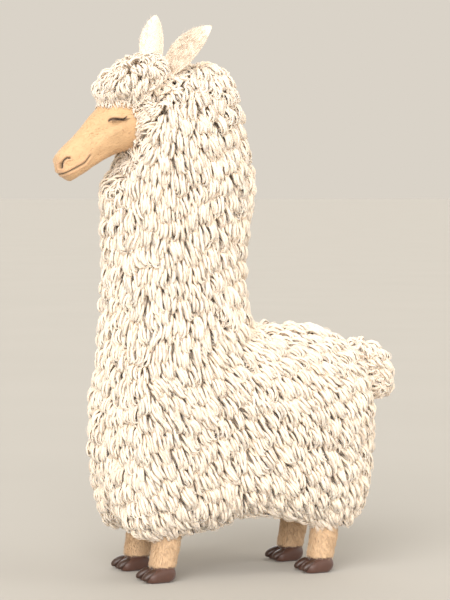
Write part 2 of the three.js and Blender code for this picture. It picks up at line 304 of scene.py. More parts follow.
def nearPath(points, path):  # distance to a path of straight pieces
    best = np.full(len(points), 1e9)
    for a, b in zip(path[:-1], path[1:]):
        a, b = np.array(a, float), np.array(b, float)
        t = np.clip(((points - a) @ (b - a)) / ((b - a) @ (b - a)), 0, 1)
        best = np.minimum(best, np.linalg.norm(points - (a + t[:, None] * (b - a)), axis=1))
    return best


nostrilPath = [(-340, -86), (-335, -77), (-326, -70), (-315, -68), (-307, -73)]  # x and z, a comma


def lidLine(along):  # the closed lids meet on a soft wave
    return -3 - 3.2 * np.sin(np.pi * along / 24)


def eyeFrame(points, hand):
    # offset from the eye's middle, its length, place along the lids and height over the line where they meet
    away = points - np.array(headShape["eye"]) * (1, hand, 1)
    tilt = math.radians(headShape["eyeTilt"])
    along = away[:, 0] * math.cos(tilt) - away[:, 2] * math.sin(tilt)
    height = away[:, 0] * math.sin(tilt) + away[:, 2] * math.cos(tilt)
    far = np.sqrt((0.68 * along) ** 2 + height**2 + away[:, 1] ** 2)  # the lids reach further along than up
    return away, far, along, height - lidLine(along)


def subdivideNear(mesh, spots, rounds):  # finer facets round each spot: centre and radius
    form = bmesh.new()
    form.from_mesh(mesh)
    for turn in range(rounds):
        inside = set()
        for v in form.verts:
            if any((v.co - centre).length < radius * (1 - 0.16 * turn) for centre, radius in spots):
                inside.add(v)
        edges = [e for e in form.edges if e.verts[0] in inside and e.verts[1] in inside]
        bmesh.ops.subdivide_edges(form, edges=edges, cuts=1, use_grid_fill=True)
    bmesh.ops.triangulate(form, faces=[f for f in form.faces if len(f.verts) > 4])
    form.to_mesh(mesh)
    form.free()


def formHead():  # the bare head with its bones and muscles, and finer facets round eyes, nostrils and mouth
    rows = [(x, (t + b) / 2, (t - b) / 2, (t - b) / 2, s) for x, t, b, s in headShape["profile"]]
    points, faces = ringForm(loftRings(np.array(rows), 132, 118, (20, 50), 2.25))
    piece = pieceFrom("head_form", points, faces)
    x, y, z = headShape["eye"]
    spots = []
    for hand in sides.values():
        spots.append((Vector((x, hand * (y + 14), z)), 38))
        spots.append((Vector((-322, hand * 26, -78)), 28))
    spots.append((Vector((-340, 0, -98)), 26))
    subdivideNear(piece.data, spots, 2)
    p = pointsOf(piece.data)
    for centre, reach, push in headForms:
        for hand in (1, -1) if centre[1] else (1,):
            q = (p - np.array(centre) * (1, hand, 1)) / reach
            p += np.exp(-(q * q).sum(1))[:, None] * np.array(push) * (1, hand, 1)
    placePoints(piece.data, p)
    return piece, p


def faceLine(name, distance):
    return ridge(distance, faceLines[name]["width"])


def carveMuzzle(p, normals):  # the mouth, the split lip and the nostrils, and where they are dark and rosy
    x, y, z = p.T
    lips = np.abs(z - lipHeight(x)) / (1 + 0.3 * smooth(-60, -120, x))
    inMouth = smooth(headShape["mouthCorner"] + 6, headShape["mouthCorner"] - 8, x)
    inSplit = smooth(-318, -334, x) * smooth(-106, -101, z) * smooth(-72, -82, z)
    comma = nearPath(np.column_stack([x, z]), nostrilPath)
    lines = {
        "mouth": faceLine("mouth", lips) * inMouth,
        "lipSplit": faceLine("lipSplit", y) * inSplit,
        "nostril": faceLine("nostril", comma) * (np.abs(y) > 9),
        "lipRoll": faceLine("lipRoll", lips - 5.5) * inMouth,
        "nostrilRim": faceLine("nostrilRim", comma - 6) * (np.abs(y) > 6) * smooth(-296, -306, x),
    }
    inward = 30 * smooth(-46, -4, x)  # the back of the head sinks under the wool
    for name, line in lines.items():
        inward = inward + faceLines[name]["depth"] * line
    # painted shade: dark in the mouth line, the lip split and the nostrils, where the grooves lie in shade
    dark = np.clip(0.85 * lines["mouth"] + 0.5 * lines["lipSplit"] + lines["nostril"], 0, 1)
    rosy = np.clip(0.7 * lines["lipRoll"] + 0.8 * lines["nostrilRim"], 0, 1)
    return p - normals * inward[:, None], dark, rosy


def closeLids(p, dark, rosy):  # closed lids over the eyeballs, with folds and a dark line along their slit, the lash line darkened as painted shade
    lidRadius = headShape["eyeRadius"] + headShape["lidThickness"]
    for hand in sides.values():
        away, far, along, aside = eyeFrame(p, hand)
        end, droop = np.abs(along), 0.009 * along**2  # folds bend towards the lids' ends
        near = smooth(44, 32, far) * (hand * away[:, 1] > -4)
        lines = {
            "lidSlit": faceLine("lidSlit", aside) * smooth(26, 21, end),
            "lidFold": faceLine("lidFold", aside - 13 + droop) * smooth(30, 16, end),
            "lidPouch": faceLine("lidPouch", aside + 11 - droop) * smooth(26, 12, end),
            "lidEdge": faceLine("lidEdge", np.abs(aside) - 3.4) * smooth(27, 20, end),
        }
        lift = lidRadius + 2.2 * np.log1p(np.exp((far - lidRadius) / 2.2))  # eases round the ball
        for name, line in lines.items():
            lift = lift - faceLines[name]["depth"] * line
        p = p + unit(away) * ((lift - far) * near)[:, None]
        onLids = (far < 40) & (hand * away[:, 1] > 0)
        # dark along the slit where the lids meet: the lash line, darkened as painted shade in the slit
        dark = np.maximum(dark, ridge(aside, 2.6) * smooth(28, 23, end) * onLids)
        rosy = np.maximum(rosy, 0.5 * ridge(aside, 7) * smooth(32, 22, end) * onLids)
    return p, dark, rosy


def makeHead():
    piece, p = formHead()
    p, dark, rosy = carveMuzzle(p, pointsOf(piece.data, "normal"))
    p, dark, rosy = closeLids(p, dark, rosy)
    placePoints(piece.data, moved(headMatrix, p))
    return piece, dark, rosy


headPiece, headDarkShade, headRosy = makeHead()
print("head", len(headPiece.data.vertices), "points")


# Ears are cupped leaves, each with its own turn and swing.
earShape = {
    "length": 190,
    "outwards": {"left": 44, "right": -36},  # degrees the cup turns from straight forward
    "lean": {"left": 36, "right": 17},  # degrees the tip stands out to the side
    "swing": {"left": 63, "right": 38},  # degrees towards the tail
    "foot": (78, 46, -14),
    "thickness": 6.5,
    # share of the length, half width, depth of the cup, place of the leaf's middle
    "leaf": [
        (-0.22, 13, 16, 2), (0.0, 20, 19, 0), (0.12, 29, 21, -1), (0.38, 40, 19, -5),
        (0.62, 37, 16, -4), (0.84, 23, 11, 4), (0.95, 11, 5, 10), (1.0, 3, 1.5, 14),
    ],
}


def earMatrix(side):
    hand = sides[side]
    x, y, z = earShape["foot"]
    return (
        headMatrix
        @ Matrix.Translation((x, hand * y, z))
        @ Matrix.Rotation(math.radians(earShape["swing"][side]), 4, "Y")
        @ Matrix.Rotation(math.radians(-hand * earShape["lean"][side]), 4, "X")
        @ Matrix.Rotation(math.radians(-hand * earShape["outwards"][side]), 4, "Z")
    )


def makeEar(side):
    leaf = np.array(earShape["leaf"])
    share = np.linspace(leaf[0, 0], 1, 52)
    half, cup, middle = through(leaf[:, 0], leaf[:, 1:], share).T
    u = np.cos(np.linspace(0, np.pi, 19))  # from one edge to the other, closer at the edges
    thick = earShape["thickness"] * (1 - 0.75 * u**4)[None, :] * smooth(1.04, 0.8, share)[:, None]
    rings = np.empty((len(share), 2 * len(u) - 2, 3))
    bend = cup[:, None] * (0.5 - u**2)  # edges come forward, so the middle is the bottom of the cup
    for outer, column in ((True, np.arange(len(u))), (False, np.arange(len(u) - 2, 0, -1))):
        place = slice(0, len(u)) if outer else slice(len(u), None)
        rings[:, place, 0] = (middle[:, None] + bend + (0.5 if outer else -0.5) * thick)[:, column]
        rings[:, place, 1] = (half[:, None] * u)[:, column]
        rings[:, place, 2] = (share * earShape["length"])[:, None]
    points, faces = ringForm(rings)
    return pieceFrom(f"ear_form_{side}", moved(earMatrix(side), points), faces)


footShape = {
    "stance": 0.128,  # from the middle plane to each foot
    "line": {"front": -0.2665, "hind": 0.2835},  # x of the cannon bones
    "toeAhead": 0.017,
    "toeSplay": 5,
    "toeApart": 0.0262,
}
# spine x and z, then how far the form reaches forward or up, back or down, and to the side, in millimetres
shankRows = [
    (-12, 26, 37, 36, 42), (-10, 52, 42, 40, 45), (-5, 84, 42, 42, 43), (0, 116, 43, 45, 44),
    (3, 150, 42, 44, 42), (4, 215, 41, 43, 41), (4, 340, 42, 42, 42),
]
toeRows = [
    (-62, 8.5, 13.5, 13.5, 13), (-42, 13, 20, 20, 22), (-12, 20, 27, 27, 24), (18, 22, 29, 29, 24),
    (38, 12, 16, 16, 19),
]
nailRows = [(-71, 9, 8, 6, 9), (-57, 20, 12, 12, 15), (-41, 31, 10, 12, 16), (-24, 39, 6, 10, 11)]


def footPlace(end, side, toe):
    hand = sides[side]
    toeHand = hand if toe == "outer" else -hand
    x = footShape["line"][end] - footShape["toeAhead"]
    y = hand * footShape["stance"] + toeHand * footShape["toeApart"]
    turn = Matrix.Rotation(math.radians(-toeHand * footShape["toeSplay"]), 4, "Z")
    return Matrix.Translation((x, y, 0)) @ turn @ Matrix.Scale(mm, 4)


def makeShank(end, side):
    rings = loftRings(shankRows, 44, 54, (16, 20), 2.1)
    x, y, z = rings[..., 0], rings[..., 1], rings[..., 2]
    hollow = ridge(x + 6, 10) * smooth(108, 150, z)  # between the bone and the tendon behind
    rings[..., 1] = y * (1 - 0.14 * hollow)
    points, faces = ringForm(rings)
    place = Matrix.Translation((footShape["line"][end], sides[side] * footShape["stance"], 0))
    return pieceFrom(f"shank_form_{end}_{side}", moved(place @ Matrix.Scale(mm, 4), points), faces)


def makeToe(end, side, toe):
    rings = loftRings(toeRows, 36, 30, (18, 16), 2.4)
    z = rings[..., 2]
    rings[..., 1] *= 1 + 0.05 * ridge(z - 6, 6)  # the pad spreads under the weight
    rings[..., 2] = np.maximum(z, 0.35 * np.exp(-np.abs(z)))
    points, faces = ringForm(rings)
    return pieceFrom(f"toe_form_{end}_{side}_{toe}", moved(footPlace(end, side, toe), points), faces)


# The body's skin lies under the guide by the depth of the coat, and inside the head and the lower legs,
# which are shaped on their own and then joined to it.
skinShape = {
    "voxel": 0.0098,
    "rounds": 8,
    "depth": 0.046,  # how deep the skin lies under the tips of the fleece
    "tailDepth": 0.034,
    "inHead": 0.016,
    "inLeg": 0.013,
    "shankTop": (0.138, 0.118),  # heights between which the fleece ends on the legs
    "shankReach": (0.095, 0.078),  # and how near the cannon bone's line
}
woolNodes = ["trunk", "neck", "topknot", "tail"] + legNodes
guideTree = treeOf(guidePoints)


def legLine(points):  # how far points are from the nearest cannon bone's line
    x = np.minimum(*[np.abs(points[:, 0] - footShape["line"][end]) for end in ends])
    return np.hypot(x, np.abs(points[:, 1]) - footShape["stance"])


def nodeGaps(points, names):  # how far points are from each node's surface
    gaps = np.full((len(points), len(names)), 0.2)
    for column, name in enumerate(names):
        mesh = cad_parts[name].data
        tree = BVHTree.FromPolygons([v.co for v in mesh.vertices], [p.vertices for p in mesh.polygons])
        for row, p in enumerate(points):
            found = tree.find_nearest(p, 0.2)
            if found[0] is not None:
                gaps[row, column] = found[3]
    return gaps


guideGaps = nodeGaps(guidePoints, woolNodes + ["head", "jaw"])
guideNode = guideGaps[:, :-2].argmin(1)
guideHead = headPlaces(guidePoints)
onFace = (guideGaps[:, -2:].min(1) < 0.012) & (beforeEdge(guideHead) > -2) & (guideHead[:, 0] < -40)
onFace = onFace & (guideGaps[:, -2:].min(1) < guideGaps[:, :-2].min(1))
faceNearest, faceGap = nearest(treeOf(guidePoints[onFace]), guidePoints)
towardsFace = unit(guidePoints[onFace][faceNearest] - guidePoints)
bareShank = smooth(*skinShape["shankTop"], guidePoints[:, 2])
bareShank = bareShank * smooth(*skinShape["shankReach"], legLine(guidePoints))
bareFace = smooth(0.010, 0.002, faceGap)
bare = np.maximum(bareShank, bareFace)
shankGap = nearest(treeOf(guidePoints[bareShank > 0.5]), guidePoints)[1]
onCrown, onTail = (guideNode == woolNodes.index(node) for node in ("topknot", "tail"))
coatDepth = np.where(onTail, skinShape["tailDepth"], skinShape["depth"])


def makeBody():
    piece = bpy.data.objects.new("body_form", guide.data.copy())
    bpy.context.scene.collection.objects.link(piece)
    inside = coatDepth + (skinShape["inHead"] - coatDepth) * bareFace
    inside = inside + (skinShape["inLeg"] - inside) * bareShank
    placePoints(piece.data, guidePoints - guideNormals * inside[:, None])
    evenForm(piece, skinShape["voxel"], skinShape["rounds"])
    return piece


def mark(piece, label, values):
    values = np.broadcast_to(np.asarray(values, float), len(piece.data.vertices)).astype(np.float32)
    piece.data.attributes.new(label, "FLOAT", "POINT").data.foreach_set("value", values)


def marked(piece, label):
    values = np.empty(len(piece.data.vertices))
    piece.data.attributes[label].data.foreach_get("value", values)
    return values


def unite(piece, parts):
    for part in parts:
        union = piece.modifiers.new("union", "BOOLEAN")
        union.operation = "UNION"
        union.solver = "MANIFOLD"
        union.object = part
        settle(piece)
        bpy.data.objects.remove(part)
    return piece


def makeSkin():
    parts = [headPiece] + [makeEar(side) for side in sides]
    for number, part in enumerate(parts):
        mark(part, "ear", number)
        mark(part, "onHead", number == 0)
        mark(part, "dark", 0 if number else headDarkShade)
        mark(part, "rosy", 0 if number else headRosy)
    for end in ends:
        for side in sides:
            parts.append(makeShank(end, side))
            parts += [makeToe(end, side, toe) for toe in ("outer", "inner")]
    body = makeBody()
    for part in [body] + parts[3:]:
        for label in ("ear", "onHead", "dark", "rosy"):
            mark(part, label, 0)
    joined = unite(body, parts)
    joined.name = "skin"
    joined.data.shade_smooth()
    return joined


skin = makeSkin()
print("skin", len(skin.data.vertices), "points")
# Colours and markings of the animal, the same for its skin and its coat

animalColours = {
    "wool": "#FDECD8",
    "face": "#DDB587",
    "leg": "#D3B18B",
    "toe": "#502F21",
    "rosy": "#E2AC88",
    # painted shade in the mouth, the nostrils and the slits of the lids
    "dark": "#33211A",
}


def linear(hexColour):  # sRGB hex to linear light
    channels = [int(hexColour[i:i + 2], 16) / 255 for i in (1, 3, 5)]
    return tuple(c / 12.92 if c <= 0.04045 else ((c + 0.055) / 1.055) ** 2.4 for c in channels) + (1.0,)


wearing = {name: np.array(linear(colour)) for name, colour in animalColours.items()}


# heights and gaps between which one colour turns to the next, in metres
markingPlace = {
    "woolEdge": (0.016, 0.007),  # from the wool's edge to the bare face
    "legTop": (0.168, 0.152),
    "legSide": (0.072, 0.058),  # from the cannon bone's line
    "lowLeg": (0.08, 0.07),  # below this a leg is fawn however far from that line
    "toeTop": (0.0505, 0.0475),
}


def toeShare(points):  # 1 on the toes, with an edge that wavers a little
    return smooth(*markingPlace["toeTop"], points[:, 2] + 0.0012 * np.sin(points[:, 0] * 240))


def markings(points, onHead):  # linear colour at places on the animal
    z = points[:, 2]
    faceShare = onHead * smooth(*markingPlace["woolEdge"], faceGap[nearest(guideTree, points)[0]])
    inLeg = np.maximum(smooth(*markingPlace["legSide"], legLine(points)), smooth(*markingPlace["lowLeg"], z))
    legShare = smooth(*markingPlace["legTop"], z) * inLeg
    colour = wearing["wool"] + (wearing["face"] - wearing["wool"]) * faceShare[:, None]
    colour = colour + (wearing["leg"] - colour) * legShare[:, None]
    return colour + (wearing["toe"] - colour) * toeShare(points)[:, None]


# How the fleece grows: locks root on the skin, lie along the body and gather in rounded curls.

fleeceShape = {
    # first number on the body, then the crown, the tail and the edge round the face, in metres
    "rootGap": (0.0106, 0.0096, 0.0096, 0.0070),
    "length": (0.084, 0.070, 0.064, 0.052),
    "halfWidth": (0.0070, 0.0062, 0.0062, 0.0048),
    "halfThickness": (0.0038, 0.0035, 0.0035, 0.0029),
    "curlGap": (0.043, 0.038, 0.036, 0.031),  # between the curls that locks gather in
    "gather": 0.20,  # how far the tips of a curl's locks draw together sideways
    "level": 0.50,  # how far they come to end in one row
    "dome": 0.36,  # how much lower the locks at a curl's rim lie
    "wave": 0.0032,
    "hook": 165,  # degrees that a tip turns under
    "tipRadius": 0.15,  # of the lock's length
    # from root to tip: how high a lock stands in the fleece, and its share of the full width; the last three
    # widths are along the rolled tip
    "rise": (-0.12, 0.60, 0.92, 1.04, 1.02),
    "taper": (0.50, 0.92, 1.04, 1.0, 0.90, 0.72, 0.48, 0.18),
    "overFace": 0.010,  # how far the last locks stand over the bare face
    "sides": 3,
    "strands": 8000,
    "strandHalfWidth": 0.00085,
    # how much locks differ in place, in metres, in turn, alone and by the curl, in radians, and in height
    "spread": {"place": 0.0028, "turn": 0.16, "curlTurn": 0.26, "height": 0.045},
    "tangle": {"crown": 0.055, "tail": 0.045, "whorl": 0.06},  # how far those three places reach
}
onWool = ~onFace & (shankGap > 0.026) & (faceGap > 0.005)
# locks end just past the edge of the wool, over the face and over the lower legs
lockRoom = np.minimum(0.95 * shankGap, np.where(towardsFace[:, 2] < 0.3, 0.014 + 0.95 * faceGap, 1))


def byPlace(values, index):  # body, crown, tail and face edge values at points of the guide
    base = np.where(onCrown[index], values[1], values[0])
    base = np.where(onTail[index], values[2], base)
    return base + (values[3] - base) * smooth(0.085, 0.025, faceGap[index])


def meeting(one, other, reach):  # 1 where two parts of the guide meet
    trees = [treeOf(guidePoints[guideNode == woolNodes.index(node)]) for node in (one, other)]
    return smooth(reach, 0.015, np.maximum(*[nearest(tree, guidePoints)[1] for tree in trees]))


# In creases and on the whorl of the crown wool would part and show the skin, so it lies in all directions.
whorl = moved(headMatrix, np.array([[-6.0, 0, 66]]))[0]
tangleReach = fleeceShape["tangle"]
tangled = np.maximum(
    meeting("topknot", "neck", tangleReach["crown"]), meeting("tail", "trunk", tangleReach["tail"]))
fromWhorl = np.linalg.norm(guidePoints - whorl, axis=1)
tangled = np.maximum(tangled, smooth(tangleReach["whorl"], 0.03, fromWhorl))
skinGap = nearest(treeOf(pointsOf(skin.data)), guidePoints)[1]


def makeLie():  # the way the coat lies at each point of the guide
    p, n = guidePoints, guideNormals
    up = smooth(0.35, 0.9, n[:, 2])
    left = np.where(p[:, 1] + 0.012 * np.sin(p[:, 0] * 31) < 0, -1, 1)  # the parting wanders a little
    onTrunk = (guideNode == 0) | (guideNode > 3)
    flow = np.column_stack([0.34 * onTrunk + 0.5 * up, 0.9 * up * left, -np.ones(len(p))])
    fromCrown = unit(p - whorl) + (-0.25, 0, -0.25)
    flow = np.where(onCrown[:, None], fromCrown, flow)
    downTail = np.column_stack([np.full(len(p), 0.5), 0.4 * left, np.full(len(p), -0.9)])
    flow = np.where(onTail[:, None], downTail, flow)
    drawn = 0.85 * smooth(0.11, 0.03, faceGap) * smooth(0.5, -0.1, towardsFace[:, 2])
    flow = flow * (1 - drawn[:, None]) + towardsFace * drawn[:, None]
    flow = flow - n * (flow * n).sum(1)[:, None]
    flow = flow + 0.05 * (np.array([1, 0, 0]) - n * n[:, :1])
    return unit(flow)


lie = makeLie()


def scatter(allowed, gap):  # points of the guide that stand at least a gap apart, in a mixed order
    free = allowed.copy()
    chosen = []
    for i in chance.permutation(np.flatnonzero(allowed)):
        if free[i]:
            chosen.append(i)
            for hit in guideTree.find_range(guidePoints[i], gap[i]):
                free[hit[1]] = False
    return np.array(chosen)


def flowFrom(start, turn, stride, steps):  # walks along the lie; gives places and guide points
    places, index = [start], [nearest(guideTree, start)[0]]
    for step in range(steps):
        i = index[-1]
        n, d = guideNormals[i], lie[i]
        d = d * np.cos(turn)[:, None] + np.cross(n, d) * np.sin(turn)[:, None]
        place = places[-1] + d * stride[:, None]
        i = nearest(guideTree, place)[0]
        n = guideNormals[i]
        place = place - n * ((place - guidePoints[i]) * n).sum(1)[:, None]
        places.append(place)
        index.append(i)
    return np.stack(places, 1), np.stack(index, 1)


def gatherLocks(along, curlPath, pull):  # a curl's locks draw together and come to end in one row
    apart = curlPath - along
    way = unit(curlPath[:, -1] - curlPath[:, 0])[:, None]
    lengthwise = (apart * way).sum(2, keepdims=True) * way
    along = along + pull * (fleeceShape["level"] * lengthwise + fleeceShape["gather"] * (apart - lengthwise))
    index = nearest(guideTree, along.reshape(-1, 3))[0].reshape(along.shape[:2])
    n = guideNormals[index]
    return along - n * ((along - guidePoints[index]) * n).sum(2)[..., None], index


def rollTips(along, n, lean, radius, bend):  # adds the tips, which roll under, to the side that they lean
    tangent = unit(along[:, -1] - along[:, -3])
    out = unit(n[:, -1] - tangent * (tangent * n[:, -1]).sum(1)[:, None])
    across = np.cross(tangent, out)
    facing = out * np.cos(lean)[:, None] + across * np.sin(lean)[:, None]
    centre = along[:, -1] - facing * radius[:, None]
    hooks, rays = [], []
    for part in (1 / 3, 2 / 3, 1):
        ray = facing * np.cos(bend * part)[:, None] + tangent * np.sin(bend * part)[:, None]
        hooks.append(centre + ray * (radius * (1 - 0.35 * part))[:, None])
        rays.append(ray)
    twist = np.linspace(0, 1, along.shape[1])[None, :, None] ** 2
    path = np.concatenate([along, np.stack(hooks, 1)], 1)
    return path, np.concatenate([unit(n * (1 - twist) + facing[:, None] * twist), np.stack(rays, 1)], 1)


def makeLocks():  # paths, facing and sizes of every lock of the fleece
    everywhere = np.arange(len(guidePoints))
    curlGap = byPlace(fleeceShape["curlGap"], everywhere)
    curls = scatter(onWool, curlGap)
    roots = scatter(onWool, byPlace(fleeceShape["rootGap"], everywhere) * (1 - 0.42 * tangled))
    count, steps = len(roots), len(fleeceShape["rise"]) - 1
    spread = fleeceShape["spread"]
    jitter = chance.normal(0, spread["place"], (count, 3))
    start = guidePoints[roots] + jitter - guideNormals[roots] * (jitter * guideNormals[roots]).sum(1)[:, None]
    length = byPlace(fleeceShape["length"], roots) * chance.uniform(0.84, 1.14, count)
    length = np.minimum(length * (1 - 0.35 * tangled[roots]), lockRoom[roots])
    radius = fleeceShape["tipRadius"] * length * chance.uniform(0.85, 1.15, count)
    bend = math.radians(fleeceShape["hook"]) * chance.uniform(0.8, 1.15, count)
    turn = chance.normal(0, spread["turn"], count) * (1 + 6 * tangled[roots])
    along = flowFrom(start, turn, (length - radius * bend) / steps, steps)[0]

    curl = nearest(treeOf(guidePoints[curls]), start)[0]
    curlTurn = chance.normal(0, spread["curlTurn"], len(curls))
    curlLength = np.minimum(0.7 * byPlace(fleeceShape["length"], curls), lockRoom[curls])
    curlPath = flowFrom(guidePoints[curls], curlTurn, curlLength / steps, steps)[0]
    pull = smooth(0.05, 1, np.linspace(0, 1, steps + 1))[None, :, None] * (1 - tangled[roots])[:, None, None]
    along, index = gatherLocks(along, curlPath[curl], pull)
    n = guideNormals[index]

    rim = np.clip(np.linalg.norm(start - guidePoints[curls][curl], axis=1) / (0.62 * curlGap[roots]), 0, 1)
    floor = np.minimum(coatDepth * (1 - bare), skinGap)[index]
    overFace = smooth(0.03, 0.0, faceGap[index]) * fleeceShape["overFace"]
    height = (1.0 - fleeceShape["dome"] * rim**2 + chance.normal(0, spread["height"], count))[:, None]
    height = height * np.array(fleeceShape["rise"])
    along = along - n * (floor * (1 - height) - overFace * height)[..., None]

    lean = chance.uniform(-0.9, 0.9, len(curls))[curl] + chance.normal(0, 0.25, count)
    path, rays = rollTips(along, n, lean, radius, bend)
    phase = chance.uniform(0, 6.28, len(curls))[curl] + chance.normal(0, 0.5, count)
    swing = np.sin(np.linspace(0, 9.0, path.shape[1])[None, :] + phase[:, None])
    swing = swing * fleeceShape["wave"] * np.linspace(0.2, 1, path.shape[1])
    path = path + np.cross(unit(np.gradient(path, axis=1)), rays) * swing[..., None]
    size = chance.uniform(0.85, 1.2, (count, 1)) * smooth(0.0, 0.05, length)[:, None]
    taper = np.array(fleeceShape["taper"])
    tone = chance.normal(0, 1, len(curls))[curl] * 0.6 + chance.normal(0, 0.6, count)
    return {
        "root": roots, "at": guidePoints[roots], "path": path, "ray": rays,
        "halfWidth": byPlace(fleeceShape["halfWidth"], roots)[:, None] * size * taper,
        "halfThickness": byPlace(fleeceShape["halfThickness"], roots)[:, None] * size * taper,
        "tone": tone, "sides": fleeceShape["sides"],
    }


def readAlong(rows, places):  # rows of points, read at places from 0 to 1 along them
    last = rows.shape[1] - 1
    read = []
    for place in places:
        i, share = int(place * last), place * last % 1
        read.append(rows[:, i] * (1 - share) + rows[:, min(i + 1, last)] * share)
    return np.stack(read, 1)


def makeStrands(number, locks):  # fine curled fibres that stand just off the locks
    pick = chance.integers(0, len(locks["root"]), number)
    steps = 8
    places = np.linspace(0.30, 0.96, steps)
    path, ray = readAlong(locks["path"][pick], places), unit(readAlong(locks["ray"][pick], places))
    side = np.cross(unit(np.gradient(path, axis=1)), ray)
    angle = np.linspace(0, 1, steps)[None, :] * chance.uniform(5, 9, (number, 1))
    angle = angle + chance.uniform(0, 6.28, (number, 1))
    reach = (locks["halfThickness"][pick].max(1) * chance.uniform(0.9, 1.5, number))[:, None]
    width = (locks["halfWidth"][pick].max(1) * chance.uniform(0.3, 1.0, number))[:, None]
    path = path + ray * (reach * (0.95 + 0.35 * np.sin(angle)))[..., None]
    path = path + side * (width * np.cos(angle))[..., None]
    thin = fleeceShape["strandHalfWidth"] * np.sin(np.linspace(0.25, 3.0, steps))[None, :]
    thin = thin * chance.uniform(0.8, 1.3, (number, 1))
    return {
        "root": locks["root"][pick], "at": path[:, 0], "path": path, "ray": ray,
        "halfWidth": thin, "halfThickness": thin, "tone": locks["tone"][pick] + 0.6, "sides": 3,
    }


def tuftArrays(tufts, keep):  # points, faces and shading values of closed tubes along the paths
    path, ray = tufts["path"][keep], tufts["ray"][keep]
    count, steps = path.shape[:2]
    sideCount = tufts["sides"]
    tangent = unit(np.gradient(path, axis=1))
    side = unit(np.cross(tangent, ray))
    out = np.cross(side, tangent)
    angle = np.linspace(0, 2 * np.pi, sideCount, endpoint=False) + np.pi / 2 * (sideCount == 3)
    ring = path[:, :, None] + (
        side[:, :, None] * (tufts["halfWidth"][keep][..., None] * np.cos(angle))[..., None]
        + out[:, :, None] * (tufts["halfThickness"][keep][..., None] * np.sin(angle))[..., None]
    )
    blunt = 0.001  # how far the middle of each end stands out
    tips = np.stack([path[:, 0] - tangent[:, 0] * blunt, path[:, -1] + tangent[:, -1] * blunt], 1)
    points = np.concatenate([ring.reshape(count, -1, 3), tips], 1)
    each = steps * sideCount + 2
    quads, quadUv, tris, triUv = [], [], [], []
    for k in range(steps - 1):
        for a in range(sideCount):
            b = (a + 1) % sideCount
            low, high = k * sideCount, (k + 1) * sideCount
            quads.append((low + a, high + a, high + b, low + b))
            u, u2, v, v2 = a / sideCount, (a + 1) / sideCount, k / (steps - 1), (k + 1) / (steps - 1)
            quadUv.append(((u, v), (u, v2), (u2, v2), (u2, v)))
    for a in range(sideCount):
        b = (a + 1) % sideCount
        u, u2 = a / sideCount, (a + 1) / sideCount
        tris.append((each - 2, a, b))
        triUv.append(((u, 0), (u, 0), (u2, 0)))
        last = (steps - 1) * sideCount
        tris.append((each - 1, last + b, last + a))
        triUv.append(((u, 1), (u2, 1), (u, 1)))
    share = np.concatenate([np.repeat(np.linspace(0, 1, steps), sideCount), [0, 1]])
    return points, quads, np.array(quadUv), tris, np.array(triUv), share


bakePatch = 0.003  # width of a tuft's patch in the map that colours are baked to
fibreScale = 10  # lengths of the fibre map in a metre of wool


def fillMesh(name, points, corners, starts, totals):
    mesh = bpy.data.meshes.new(name)
    mesh.vertices.add(len(points))
    mesh.vertices.foreach_set("co", points.astype(np.float32).ravel())
    mesh.loops.add(len(corners))
    mesh.loops.foreach_set("vertex_index", corners.astype(np.int32))
    mesh.polygons.add(len(starts))
    mesh.polygons.foreach_set("loop_start", starts.astype(np.int32))
    mesh.polygons.foreach_set("loop_total", totals.astype(np.int32))
    mesh.update(calc_edges=True)
    mesh.shade_smooth()
    return mesh


def makeCoat(name, batches, origin, axis):  # joins tufts in one mesh, with its maps and shading values
    points, corners, starts, totals, bake, fibre = [], [], [], [], [], []
    tones, shares, paints = [], [], []
    base = cornerBase = 0
    batches = [(tufts, np.arange(len(tufts["at"])) if keep is None else keep) for tufts, keep in batches]
    rootUv = unwrapRound(origin, axis, np.vstack([tufts["at"][keep] for tufts, keep in batches]))
    for tufts, keep in batches:
        form, quads, quadUv, tris, triUv, share = tuftArrays(tufts, keep)
        count, each = form.shape[:2]
        points.append(form.reshape(-1, 3))
        shares.append(np.tile(share, count))
        tones.append(np.repeat(tufts["tone"][keep], each))
        paints.append(np.repeat(markings(tufts["at"][keep], tufts.get("onHead", 0)), each, axis=0))
        shift = base + np.arange(count)[:, None] * each
        centre, rootUv = rootUv[:count], rootUv[count:]
        reach = np.linalg.norm(np.diff(tufts["path"][keep], axis=1), axis=2).sum(1)
        girth = 4 * tufts["halfWidth"][keep].max(1)
        slide = chance.uniform(0, 9, (count, 2))
        for faces, uv, sideCount in ((quads, quadUv, 4), (tris, triUv, 3)):
            flat, uv = np.array(faces).ravel(), uv.reshape(-1, 2)
            corners.append((shift + flat).ravel())
            faceCount = count * len(faces)
            starts.append(cornerBase + np.arange(faceCount) * sideCount)
            totals.append(np.full(faceCount, sideCount))
            cornerBase += faceCount * sideCount
            bake.append((centre[:, None] + bakePatch * (uv - 0.5)[None]).reshape(-1, 2))
            scale = np.stack([girth, reach], 1)[:, None] * fibreScale
            fibre.append((slide[:, None] + uv[None] * scale).reshape(-1, 2))
        base += count * each
    totals = np.concatenate(totals)
    mesh = fillMesh(name, np.vstack(points), np.concatenate(corners), np.concatenate(starts), totals)
    for label, values in (("OFBake", bake), ("fibre", fibre)):
        layer = mesh.uv_layers.new(name=label)
        layer.data.foreach_set("uv", np.vstack(values).astype(np.float32).ravel())
    for label, values in (("tone", np.concatenate(tones)), ("along", np.concatenate(shares))):
        mesh.attributes.new(label, "FLOAT", "POINT").data.foreach_set("value", values.astype(np.float32))
    mesh.attributes.new("marking", "FLOAT_COLOR", "POINT").data.foreach_set(
        "color", np.vstack(paints).astype(np.float32).ravel())
    piece = bpy.data.objects.new(name, mesh)
    bpy.context.scene.collection.objects.link(piece)
    print(name, len(mesh.vertices), "points", (totals - 2).sum(), "triangles")
    return piece


